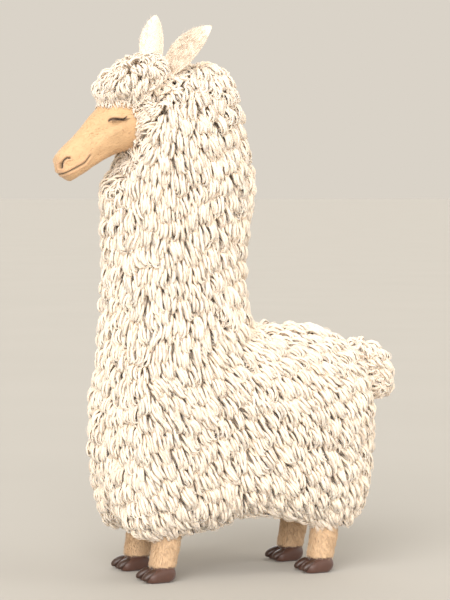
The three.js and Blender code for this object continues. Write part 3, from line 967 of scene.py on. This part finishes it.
def unwrapRound(origin, axis, places):  # the skin rolled out round an axis, spread over the map
    axis = unit(np.array(axis, float))
    first = unit(np.cross(axis, (0.31, 0.95, 0.02)))
    offset = places - np.array(origin)
    turn = np.arctan2(offset @ np.cross(axis, first), offset @ first)
    order = np.sort(turn)
    gap = np.diff(np.append(order, order[0] + 2 * np.pi)).argmax()
    turn = (turn - order[(gap + 1) % len(order)]) % (2 * np.pi)  # the seam lies in the widest gap
    place = np.column_stack([turn, offset @ axis])
    return 0.01 + 0.98 * (place - place.min(0)) / np.ptp(place, axis=0)


def fleeceRegions():  # each piece's node, the guide points it grows from, and the axis it is unwrapped round
    x, y, z = guidePoints.T
    regions = {}
    for node in woolNodes:
        onNode = guideNode == woolNodes.index(node)
        if node == "neck":
            for side, hand in sides.items():
                for level, low, high in (("low", 0, 1.13), ("mid", 1.13, 1.40), ("high", 1.40, 9)):
                    inside = onNode & (y * hand > 0) & (z >= low) & (z < high)
                    regions[f"fleece_neck_{level}_{side}"] = ("neck", inside, (-0.26, 0, 1), (0, 0, 1))
        elif node == "trunk":
            for side, hand in sides.items():
                for place, low, high in (("front", -9, -0.12), ("middle", -0.12, 0.2), ("back", 0.2, 9)):
                    inside = onNode & (y * hand > 0) & (x >= low) & (x < high)
                    regions[f"fleece_{place}_{side}"] = ("trunk", inside, (0, 0, 0.62), (1, 0, 0))
        else:
            axis = (0.3, 0, 1) if node == "tail" else (0, 0, 1)
            regions[f"fleece_{node}"] = (node, onNode, guidePoints[onNode].mean(0), axis)
    return regions


def makeFleece():
    locks = makeLocks()
    strands = makeStrands(fleeceShape["strands"], locks)
    print("locks", len(locks["root"]), "strands", len(strands["root"]))
    coats = {}
    for name, (node, inside, origin, axis) in fleeceRegions().items():
        batches = [(t, np.flatnonzero(inside[t["root"]])) for t in (locks, strands) if len(t["root"])]
        if sum(len(keep) for _, keep in batches) == 0:
            continue
        coats[name] = makeCoat(name, batches, origin, axis)
        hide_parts(node)
    return coats


coats = makeFleece()


# Short hair stands on the face, the ears and the lower legs where it breaks the form.

shortHair = {
    # how many, length in metres at the two ends of its range, lean off the skin, half width
    "face": {"number": 6000, "length": (0.005, 0.009), "lift": 0.13, "halfWidth": 0.00030},
    "ear": {"number": 2200, "length": (0.007, 0.013), "lift": 0.16, "halfWidth": 0.00040},
    "earInside": {"number": 420, "length": (0.018, 0.030), "lift": 0.5, "halfWidth": 0.00045},
    "leg": {"number": 1500, "length": (0.008, 0.014), "lift": 0.30, "halfWidth": 0.00045},
    "lash": {"number": 30, "length": (0.017, 0.022), "halfWidth": 0.00050},
}


def skinFacets():
    mesh = skin.data
    centre, normal = np.empty(len(mesh.polygons) * 3), np.empty(len(mesh.polygons) * 3)
    area = np.empty(len(mesh.polygons))
    mesh.polygons.foreach_get("center", centre)
    mesh.polygons.foreach_get("normal", normal)
    mesh.polygons.foreach_get("area", area)
    return centre.reshape(-1, 3), normal.reshape(-1, 3), area


facetPlace, facetNormal, facetArea = skinFacets()
facetHead = headPlaces(facetPlace)
skinEar = np.rint(marked(skin, "ear"))
facetEar = skinEar[[p.vertices[0] for p in skin.data.polygons]]


def makeHairs(kind, weight, flow):  # hairs on facets, more where the weight is higher
    size = shortHair[kind]
    number = size["number"] // 1
    odds = facetArea * weight
    pick = chance.choice(len(odds), number, p=odds / odds.sum())
    n = facetNormal[pick]
    scatterBy = chance.normal(0, 1, (number, 3)) * np.sqrt(facetArea[pick])[:, None] * 0.4
    at = facetPlace[pick] + scatterBy - n * (scatterBy * n).sum(1)[:, None]
    d = flow[pick] + chance.normal(0, 0.22, (number, 3))
    d = unit(d - n * (d * n).sum(1)[:, None])
    length = chance.uniform(*size["length"], number)[:, None]
    lift = size["lift"] * chance.uniform(0.5, 1.4, (number, 1))
    share = np.array([-0.1, 0.5, 1.0])[None, :, None]
    rise = (lift * length)[:, None] * (1.25 * share - 0.35 * share**2)
    path = at[:, None] + d[:, None] * (length[:, None] * share) + n[:, None] * rise
    ray = np.repeat(n[:, None], 3, axis=1)
    thin = size["halfWidth"] * np.array([1.0, 0.8, 0.12])[None, :] * chance.uniform(0.8, 1.3, (number, 1))
    return {
        "at": at, "path": path, "ray": ray, "halfWidth": thin, "halfThickness": thin,
        "tone": chance.normal(0, 0.8, number), "sides": 3, "onHead": 1 if kind == "face" else 0,
    }


def makeFaceHair():
    x, y, z = facetHead.T
    weight = smooth(30, -50, x) * smooth(-352, -335, x) * (facetPlace[:, 2] > 1.2)
    weight = weight * smooth(190, 150, np.abs(z)) * smooth(100, 80, np.abs(y))
    weight = weight * (0.35 + 0.65 * smooth(-330, -180, x)) * (facetEar == 0)
    for hand in sides.values():
        far = eyeFrame(facetHead, hand)[1]
        weight = weight * np.where(hand * y > 0, smooth(20, 34, far), 1)
    lips = np.abs(z - lipHeight(x))
    weight = weight * np.where(x < headShape["mouthCorner"] + 10, smooth(2, 6, lips), 1)
    back = np.array(headMatrix.to_3x3() @ Vector((1, 0, -0.25)))
    hairs = makeHairs("face", weight, np.repeat(unit(back)[None], len(weight), 0))
    coats["hair_face"] = makeCoat("hair_face", [(hairs, None)], headMatrix.translation, tuple(back))
    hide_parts("head", "jaw")


def earPlaces(points, side):  # places in an ear's own frame
    inEar = np.array(earMatrix(side).inverted())
    return points @ inEar[:3, :3].T + inEar[:3, 3]


def makeEarHair():
    for number, side in enumerate(sides, 1):
        axis = np.array(earMatrix(side).to_3x3() @ Vector((0, 0, 1)))
        forward = np.array(earMatrix(side).to_3x3() @ Vector((-1, 0, 0)))
        inside = smooth(0.2, 0.7, facetNormal @ unit(forward))
        belowTip = smooth(earShape["length"] - 14, earShape["length"] - 50, earPlaces(facetPlace, side)[:, 2])
        up = np.repeat(unit(axis)[None], len(inside), 0)
        outer = makeHairs("ear", (facetEar == number) * belowTip * (1 - 0.6 * inside), up)
        inner = makeHairs("earInside", (facetEar == number) * belowTip * inside, up)
        name = f"hair_ear_{side}"
        coats[name] = makeCoat(name, [(outer, None), (inner, None)], earMatrix(side).translation, tuple(axis))
        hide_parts(f"ear_{side}")


def makeLegHair():
    down = np.repeat(np.array([[0.1, 0, -1.0]]), len(facetPlace), 0)
    for end in ends:
        for side, hand in sides.items():
            foot = np.array([footShape["line"][end], hand * footShape["stance"], 0.1])
            near = np.hypot(*(facetPlace - foot)[:, :2].T) < 0.075
            weight = near * smooth(0.045, 0.06, facetPlace[:, 2]) * smooth(0.17, 0.15, facetPlace[:, 2])
            name = f"hair_leg_{end}_{side}"
            coats[name] = makeCoat(name, [(makeHairs("leg", weight, down), None)], foot, (0, 0, 1))
            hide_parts(f"leg_{end}_{side}")


def makeLashes():
    size = shortHair["lash"]
    tilt = math.radians(headShape["eyeTilt"])
    for side, hand in sides.items():
        along = np.linspace(-22, 25, size["number"])
        height = lidLine(along) - 0.6
        middle = np.array(headShape["eye"]) * (1, hand, 1)
        x = along * math.cos(tilt) + height * math.sin(tilt)
        z = -along * math.sin(tilt) + height * math.cos(tilt)
        flat = np.hypot(0.68 * along, height)
        bulge = np.sqrt((headShape["eyeRadius"] + headShape["lidThickness"] + 0.3) ** 2 - flat**2)
        start = middle + np.column_stack([x, hand * bulge, z])
        length = chance.uniform(*size["length"], len(along)) / (headPose["scale"] * mm)
        share = np.linspace(0, 1, 5)[None, :, None]
        out, down = np.full(len(along), float(hand)), np.full(len(along), -1.0)
        fan = np.column_stack([0.018 * along, 0.55 * out, 0.80 * down])
        curl = np.column_stack([0 * along, 0.12 * out, -0.32 * down])
        path = start[:, None] + length[:, None, None] * (fan[:, None] * share + curl[:, None] * share**2)
        path = moved(headMatrix, path.reshape(-1, 3)).reshape(path.shape)
        ray = np.broadcast_to((0, 0, 1.0), path.shape)
        thin = size["halfWidth"] * np.array([1, 0.9, 0.7, 0.45, 0.1])[None, :] * np.ones((len(along), 1))
        tufts = {
            "at": path[:, 0], "path": path, "ray": ray, "halfWidth": thin, "halfThickness": thin,
            "tone": np.zeros(len(along)), "sides": 4,
        }
        name = f"lashes_{side}"
        lashes[name] = makeCoat(name, [(tufts, None)], moved(headMatrix, middle[None])[0], (1, 0, 0.5))


lashes = {}
makeFaceHair()
makeEarHair()
makeLegHair()
makeLashes()
print("short hair and lashes")


def makeNail(end, side, toe):  # a horn cap with a blunt worn tip
    rings = loftRings(nailRows, 40, 30, (8, 9), 2.0)
    rings[..., 1] *= 1 + 0.05 * ridge(rings[..., 0] + 66, 5)
    points, faces = ringForm(rings)
    return pieceFrom(f"nail_form_{end}_{side}_{toe}", moved(footPlace(end, side, toe), points), faces)


eyeShape = {"gaze": (-0.35, 0.93, -0.1), "corneaEdge": 0.82, "corneaRise": 0.03}


def makeEye(side):  # an eyeball with a bulging cornea
    x, y, z = headShape["eye"]
    hand, edge = sides[side], eyeShape["corneaEdge"]
    gaze = Vector([g * h for g, h in zip(eyeShape["gaze"], (1, hand, 1))]).normalized()
    form = bmesh.new()
    bmesh.ops.create_uvsphere(form, u_segments=48, v_segments=32, radius=headShape["eyeRadius"])
    for v in form.verts:
        ahead = gaze.dot(v.co.normalized())
        v.co *= 1 + eyeShape["corneaRise"] * max(0.0, (ahead - edge) / (1 - edge)) ** 0.5
        v.co += Vector((x, hand * y, z))
        v.co = headMatrix @ v.co
    mesh = bpy.data.meshes.new(f"eyeball_{side}")
    form.to_mesh(mesh)
    form.free()
    mesh.shade_smooth()
    piece = bpy.data.objects.new(f"eyeball_{side}", mesh)
    bpy.context.scene.collection.objects.link(piece)
    return piece


nails = {n.replace("toe_", "nail_"): makeNail(*n.split("_")[1:]) for n in toeNodes}
eyeballs = {f"eye_{side}": makeEye(side) for side in sides}
print("nails and eyeballs")


def paintSkin():  # markings, the dark and rosy places of the head, and where along the hair each point is
    points = pointsOf(skin.data)
    onHead, dark, rosy = (marked(skin, label) for label in ("onHead", "dark", "rosy"))
    paint = markings(points, onHead)
    paint = paint + (wearing["rosy"] - paint) * (0.55 * rosy)[:, None]
    # dark painted shade in the mouth, the nostrils and the lid slits
    paint = paint + (wearing["dark"] - paint) * np.clip(dark, 0, 1)[:, None]
    paint[:, 3] = 1
    lay = points[:, [2, 0, 1]]  # hair hangs down the legs
    lay = np.where((onHead > 0.5)[:, None], headPlaces(points) * mm, lay)
    for number, side in enumerate(sides, 1):
        lay = np.where((skinEar == number)[:, None], earPlaces(points, side)[:, [2, 0, 1]] * mm, lay)
    marking = skin.data.attributes.new("marking", "FLOAT_COLOR", "POINT")
    marking.data.foreach_set("color", paint.astype(np.float32).ravel())
    skin.data.attributes.new("lay", "FLOAT_VECTOR", "POINT").data.foreach_set(
        "vector", lay.astype(np.float32).ravel())
    mark(skin, "horny", toeShare(points))


paintSkin()


# Materials, each named for what the real one is.


def add(material, kind, links=None, **settings):  # adds a node; links are plain values or nodes' sockets
    node = material.node_tree.nodes.new("ShaderNode" + kind)
    for name, value in settings.items():
        setattr(node, name, value)
    for socket, value in (links or {}).items():
        if isinstance(value, bpy.types.NodeSocket):
            material.node_tree.links.new(value, node.inputs[socket])
        else:
            node.inputs[socket].default_value = value
    return node


def newMaterial(name, **values):  # a bare surface shader with its plain values
    material = bpy.data.materials.new(name)
    material.use_nodes = True
    surface = material.node_tree.nodes["Principled BSDF"]
    for socket, value in values.items():
        surface.inputs[socket.replace("_", " ")].default_value = value
    return material, surface


def join(material, source, target):
    material.node_tree.links.new(source, target)


def remap(material, value, source, target):  # carries a value from one range to another
    (low, high), (first, last) = source, target
    return add(material, "MapRange", {
        "Value": value, "From Min": low, "From Max": high, "To Min": first, "To Max": last}).outputs["Result"]


def paintBetween(material, surface, share, first, second):  # colours a surface between two colours
    ramp = add(material, "ValToRGB", {"Fac": share})
    ramp.color_ramp.elements[0].color = linear(first)
    ramp.color_ramp.elements[1].color = linear(second)
    join(material, ramp.outputs["Color"], surface.inputs["Base Color"])


wavePeriod = 0.314  # from band to band of a wave texture at scale 1
woolLook = {
    # colour down at each lock's root, darker and warmer than the tips: painted shade deep in the fleece
    "root": "#FFE8CE",
    "fibre": 0.0020,  # width of the streaks along the locks
    "crimp": 0.0075,
    "relief": 0.0016,
    "toneRange": (0.93, 1.04),
    # painted shade: the colour darkens to 0.89 in the grooves between fibre bundles
    "grooveShadeRange": (0.89, 1.02),
}


def makeWool():
    # Curly llama wool, washed and unspun: fine crimped fibres scatter the light, so it is matt with a soft
    # bloom at grazing angles. Painted shade makes it darker and warmer down in the locks, and painted shade
    # in the grooves between fibre bundles streaks it along them. The streaks are drawn 2 mm wide, for bundles
    # of fibres 0.03 mm thick.
    material, surface = newMaterial(
        "curlyWool", IOR=1.54, Roughness=0.88, Sheen_Weight=0.3, Sheen_Roughness=0.5, Subsurface_Weight=0.3,
        Subsurface_Radius=(0.010, 0.008, 0.006), Subsurface_Scale=1.0)
    along = add(material, "Attribute", attribute_name="along").outputs["Fac"]
    tone = add(material, "Attribute", attribute_name="tone").outputs["Fac"]
    marking = add(material, "Attribute", attribute_name="marking").outputs["Color"]
    # painted shade: towards the root the colour turns to the darker root colour, where the fleece lies in
    # shade
    depth = remap(material, along, (0.05, 0.62), (1.0, 0.0))
    # the sockets of a mix share their names, so they go by number: 6 and 7 are its two colours, 2 its result
    rootShade = add(material, "Mix", {0: depth, 6: marking, 7: linear(woolLook["root"])}, data_type="RGBA")
    shade = remap(material, tone, (-2.0, 2.0), woolLook["toneRange"])
    place = add(material, "UVMap", uv_map="fibre").outputs["UV"]
    lengthwise = add(material, "Mapping", {"Vector": place, "Scale": (1.0, 0.07, 1.0)}).outputs["Vector"]
    fibres = add(material, "TexNoise", {
        "Vector": lengthwise, "Scale": 1 / fibreScale / woolLook["fibre"], "Detail": 2.0})
    # painted shade in the grooves between fibre bundles, from the same noise that bumps them
    grooveShade = remap(material, fibres.outputs["Fac"], (0.36, 0.60), woolLook["grooveShadeRange"])
    both = add(material, "Math", {0: shade, 1: grooveShade}, operation="MULTIPLY")
    toned = add(material, "VectorMath", {
        0: rootShade.outputs[2], "Scale": both.outputs["Value"]}, operation="SCALE")
    join(material, toned.outputs["Vector"], surface.inputs["Base Color"])
    crimp = add(material, "TexWave", {
        "Vector": place, "Scale": wavePeriod / fibreScale / woolLook["crimp"], "Distortion": 3.5,
        "Detail": 1.0, "Detail Scale": 6.0}, bands_direction="Y")
    low = add(material, "Bump", {"Strength": 0.22, "Distance": 0.002, "Height": crimp.outputs["Fac"]})
    fine = add(material, "Bump", {
        "Strength": 0.8, "Distance": woolLook["relief"], "Height": fibres.outputs["Fac"],
        "Normal": low.outputs["Normal"]})
    join(material, fine.outputs["Normal"], surface.inputs["Normal"])
    return material


hairLook = {"width": 0.0008, "relief": 0.00035, "mottle": 0.035, "crease": 0.006}


def makeShortHair():
    # Short flat hair on skin: close-lying guard hair gives a satin that runs with the hair, and it turns to
    # bare leathery horn on the toes. Hairs are drawn 0.8 mm wide so that they show. The colour is darkened
    # throughout as painted shade between the hairs.
    material, surface = newMaterial(
        "shortHairOnSkin", IOR=1.5, Roughness=0.72, Sheen_Weight=0.25, Sheen_Roughness=0.5)
    marking = add(material, "Attribute", attribute_name="marking").outputs["Color"]
    lay = add(material, "Attribute", attribute_name="lay").outputs["Vector"]
    horny = add(material, "Attribute", attribute_name="horny").outputs["Fac"]
    mottle = add(material, "TexNoise", {"Vector": lay, "Scale": 1 / hairLook["mottle"], "Detail": 3.0})
    lengthwise = add(material, "Mapping", {"Vector": lay, "Scale": (0.12, 1.0, 1.0)}).outputs["Vector"]
    hairs = add(material, "TexNoise", {"Vector": lengthwise, "Scale": 1 / hairLook["width"], "Detail": 2.0})
    both = add(material, "Math", {0: mottle.outputs["Fac"], 1: hairs.outputs["Fac"]}, operation="ADD")
    # painted shade between the hairs: the marking is darkened to 81-93 %, varied by the mottle and the hairs
    shade = remap(material, both.outputs["Value"], (0.6, 1.4), (0.81, 0.93))
    toned = add(material, "VectorMath", {0: marking, "Scale": shade}, operation="SCALE")
    join(material, toned.outputs["Vector"], surface.inputs["Base Color"])
    join(material, remap(material, horny, (0.0, 1.0), (0.74, 0.48)), surface.inputs["Roughness"])
    creases = add(material, "TexVoronoi", {
        "Vector": lay, "Scale": 1 / hairLook["crease"]}, feature="DISTANCE_TO_EDGE")
    height = add(material, "Mix", {0: horny, 2: hairs.outputs["Fac"], 3: creases.outputs["Distance"]})
    bump = add(material, "Bump", {
        "Strength": 0.7, "Distance": hairLook["relief"], "Height": height.outputs[0]})
    join(material, bump.outputs["Normal"], surface.inputs["Normal"])
    return material


def makeHairTips():
    # The loose ends of the short hair: fine, satin, a little lighter than the skin they stand on, and darker
    # towards the root as painted shade near the skin.
    material, surface = newMaterial(
        "looseShortHair", IOR=1.54, Roughness=0.6, Sheen_Weight=0.3, Sheen_Roughness=0.4)
    marking = add(material, "Attribute", attribute_name="marking").outputs["Color"]
    along = add(material, "Attribute", attribute_name="along").outputs["Fac"]
    # painted shade between the hairs: 84 % of the marking at the root, 96 % at the tip
    shade = remap(material, along, (0.0, 1.0), (0.84, 0.96))
    toned = add(material, "VectorMath", {0: marking, "Scale": shade}, operation="SCALE")
    join(material, toned.outputs["Vector"], surface.inputs["Base Color"])
    return material


lashLook = {"root": "#1B110C", "tip": "#3E281C"}


def makeLashHair():
    # Eyelashes: thick dark guard hairs with a soft gloss, browner towards the tip.
    material, surface = newMaterial("eyelashHair", IOR=1.54, Roughness=0.4)
    along = add(material, "Attribute", attribute_name="along").outputs["Fac"]
    paintBetween(material, surface, along, lashLook["root"], lashLook["tip"])
    return material


hornLook = {"dark": "#2B1B14", "light": "#4A2F22", "band": 0.0022, "scratch": 0.0015}


def makeHorn():
    # Nail horn, grown in layers and worn on gravel: faint bands across, a dull polish with fine scratches.
    material, surface = newMaterial("wornNailHorn", IOR=1.55, Roughness=0.4)
    place = add(material, "TexCoord").outputs["Object"]
    layers = add(material, "TexWave", {
        "Vector": place, "Scale": wavePeriod / hornLook["band"], "Distortion": 4.0, "Detail": 2.0,
        "Detail Scale": 2.0})
    paintBetween(material, surface, layers.outputs["Fac"], hornLook["dark"], hornLook["light"])
    scratches = add(material, "TexNoise", {"Vector": place, "Scale": 1 / hornLook["scratch"], "Detail": 3.0})
    rough = remap(material, scratches.outputs["Fac"], (0.0, 1.0), (0.32, 0.55))
    join(material, rough, surface.inputs["Roughness"])
    bump = add(material, "Bump", {"Strength": 0.25, "Distance": 0.0002, "Height": layers.outputs["Fac"]})
    join(material, bump.outputs["Normal"], surface.inputs["Normal"])
    return material


eyeLook = {"dark": "#120A06", "light": "#3A2213", "ray": 0.003}


def makeWetEye():
    # The eye: a wet clear cornea over a dark brown iris, so a deep brown with a sharp highlight.
    material, surface = newMaterial("wetEye", IOR=1.376, Roughness=0.06, Coat_Weight=1.0, Coat_Roughness=0.03)
    place = add(material, "TexCoord").outputs["Object"]
    rays = add(material, "TexNoise", {"Vector": place, "Scale": 1 / eyeLook["ray"], "Detail": 3.0})
    paintBetween(material, surface, rays.outputs["Fac"], eyeLook["dark"], eyeLook["light"])
    return material


floorLook = {"dark": "#B2AEA7", "light": "#B6B2AB"}


def makeFloorPaint():
    # The studio floor: matt pale paint, very faintly uneven.
    material, surface = newMaterial("paleFloorPaint", IOR=1.5, Roughness=1.0, Specular_IOR_Level=0.0)
    place = add(material, "TexCoord").outputs["Object"]
    cloud = add(material, "TexNoise", {"Vector": place, "Scale": 0.8, "Detail": 2.0})
    paintBetween(material, surface, cloud.outputs["Fac"], floorLook["dark"], floorLook["light"])
    return material


def wear(material, pieces):
    for piece in pieces:
        piece.data.materials.clear()
        piece.data.materials.append(material)
        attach(piece, "root")


fleeceCoats = [coat for name, coat in coats.items() if name.startswith("fleece")]
hairCoats = [coat for name, coat in coats.items() if name.startswith("hair")]
wear(makeWool(), fleeceCoats)
wear(makeHairTips(), hairCoats)
wear(makeShortHair(), [skin])
wear(makeLashHair(), lashes.values())
wear(makeHorn(), nails.values())
wear(makeWetEye(), eyeballs.values())
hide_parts("head", "jaw", "ear_left", "ear_right", *woolNodes, *toeNodes)
for node, piece in [*nails.items(), *eyeballs.items()]:
    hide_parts(node)
bpy.data.objects.remove(guide)
print("materials")

# Studio: a wide floor under an even pale sky, and four broad lamps that together light the coat evenly.

studio = {
    "floorSize": 600.0,
    "sky": "#DAD3C8",
    "skyStrength": 1.0,
    "lamps": {
        # from where the light comes, its strength, and how wide it is in degrees
        "key": ((-0.55, -0.70, 0.62), 2.3, 50),
        "front": ((-0.36, -0.93, 0.12), 2.6, 60),
        "fill": ((0.85, -0.45, 0.35), 1.1, 60),
        "back": ((0.35, 0.85, 0.50), 1.2, 50),
    },
}
shot = {
    "azimuth": -21.0,
    "elevation": 2.75,
    "distance": 7.5,
    "aim": (-0.0125, 0.0028, 0.8921),
    "height": 1.9716,
    "film": 24,  # height of the sensor in millimetres
}


def makeFloor():
    half = studio["floorSize"] / 2
    mesh = bpy.data.meshes.new("floor")
    corners = [(-half, -half, 0), (half, -half, 0), (half, half, 0), (-half, half, 0)]
    mesh.from_pydata(corners, [], [(0, 1, 2, 3)])
    mesh.materials.append(makeFloorPaint())
    floor = bpy.data.objects.new("floor", mesh)
    bpy.context.scene.collection.objects.link(floor)


def makeLights():
    sky = bpy.data.worlds.new("paleSky")
    sky.use_nodes = True
    background = sky.node_tree.nodes["Background"]
    background.inputs["Color"].default_value = linear(studio["sky"])
    background.inputs["Strength"].default_value = studio["skyStrength"]
    bpy.context.scene.world = sky
    for name, (source, strength, width) in studio["lamps"].items():
        light = bpy.data.lights.new(name, "SUN")
        light.energy, light.angle = strength, math.radians(width)
        lamp = bpy.data.objects.new(name, light)
        lamp.rotation_euler = (-Vector(source)).to_track_quat("-Z", "Y").to_euler()
        bpy.context.scene.collection.objects.link(lamp)


def makeCamera():
    turn, lift = math.radians(shot["azimuth"]), math.radians(shot["elevation"])
    away = Vector((math.sin(turn) * math.cos(lift), -math.cos(turn) * math.cos(lift), math.sin(lift)))
    lens = bpy.data.cameras.new("camera")
    lens.sensor_fit, lens.sensor_height = "VERTICAL", shot["film"]
    lens.lens = shot["film"] * shot["distance"] / shot["height"]
    camera = bpy.data.objects.new("camera", lens)
    camera.location = Vector(shot["aim"]) + away * shot["distance"]
    camera.rotation_euler = (-away).to_track_quat("-Z", "Y").to_euler()
    bpy.context.scene.collection.objects.link(camera)
    bpy.context.scene.camera = camera


makeFloor()
makeLights()
makeCamera()
bpy.context.scene.view_settings.view_transform = "Standard"
print("studio")
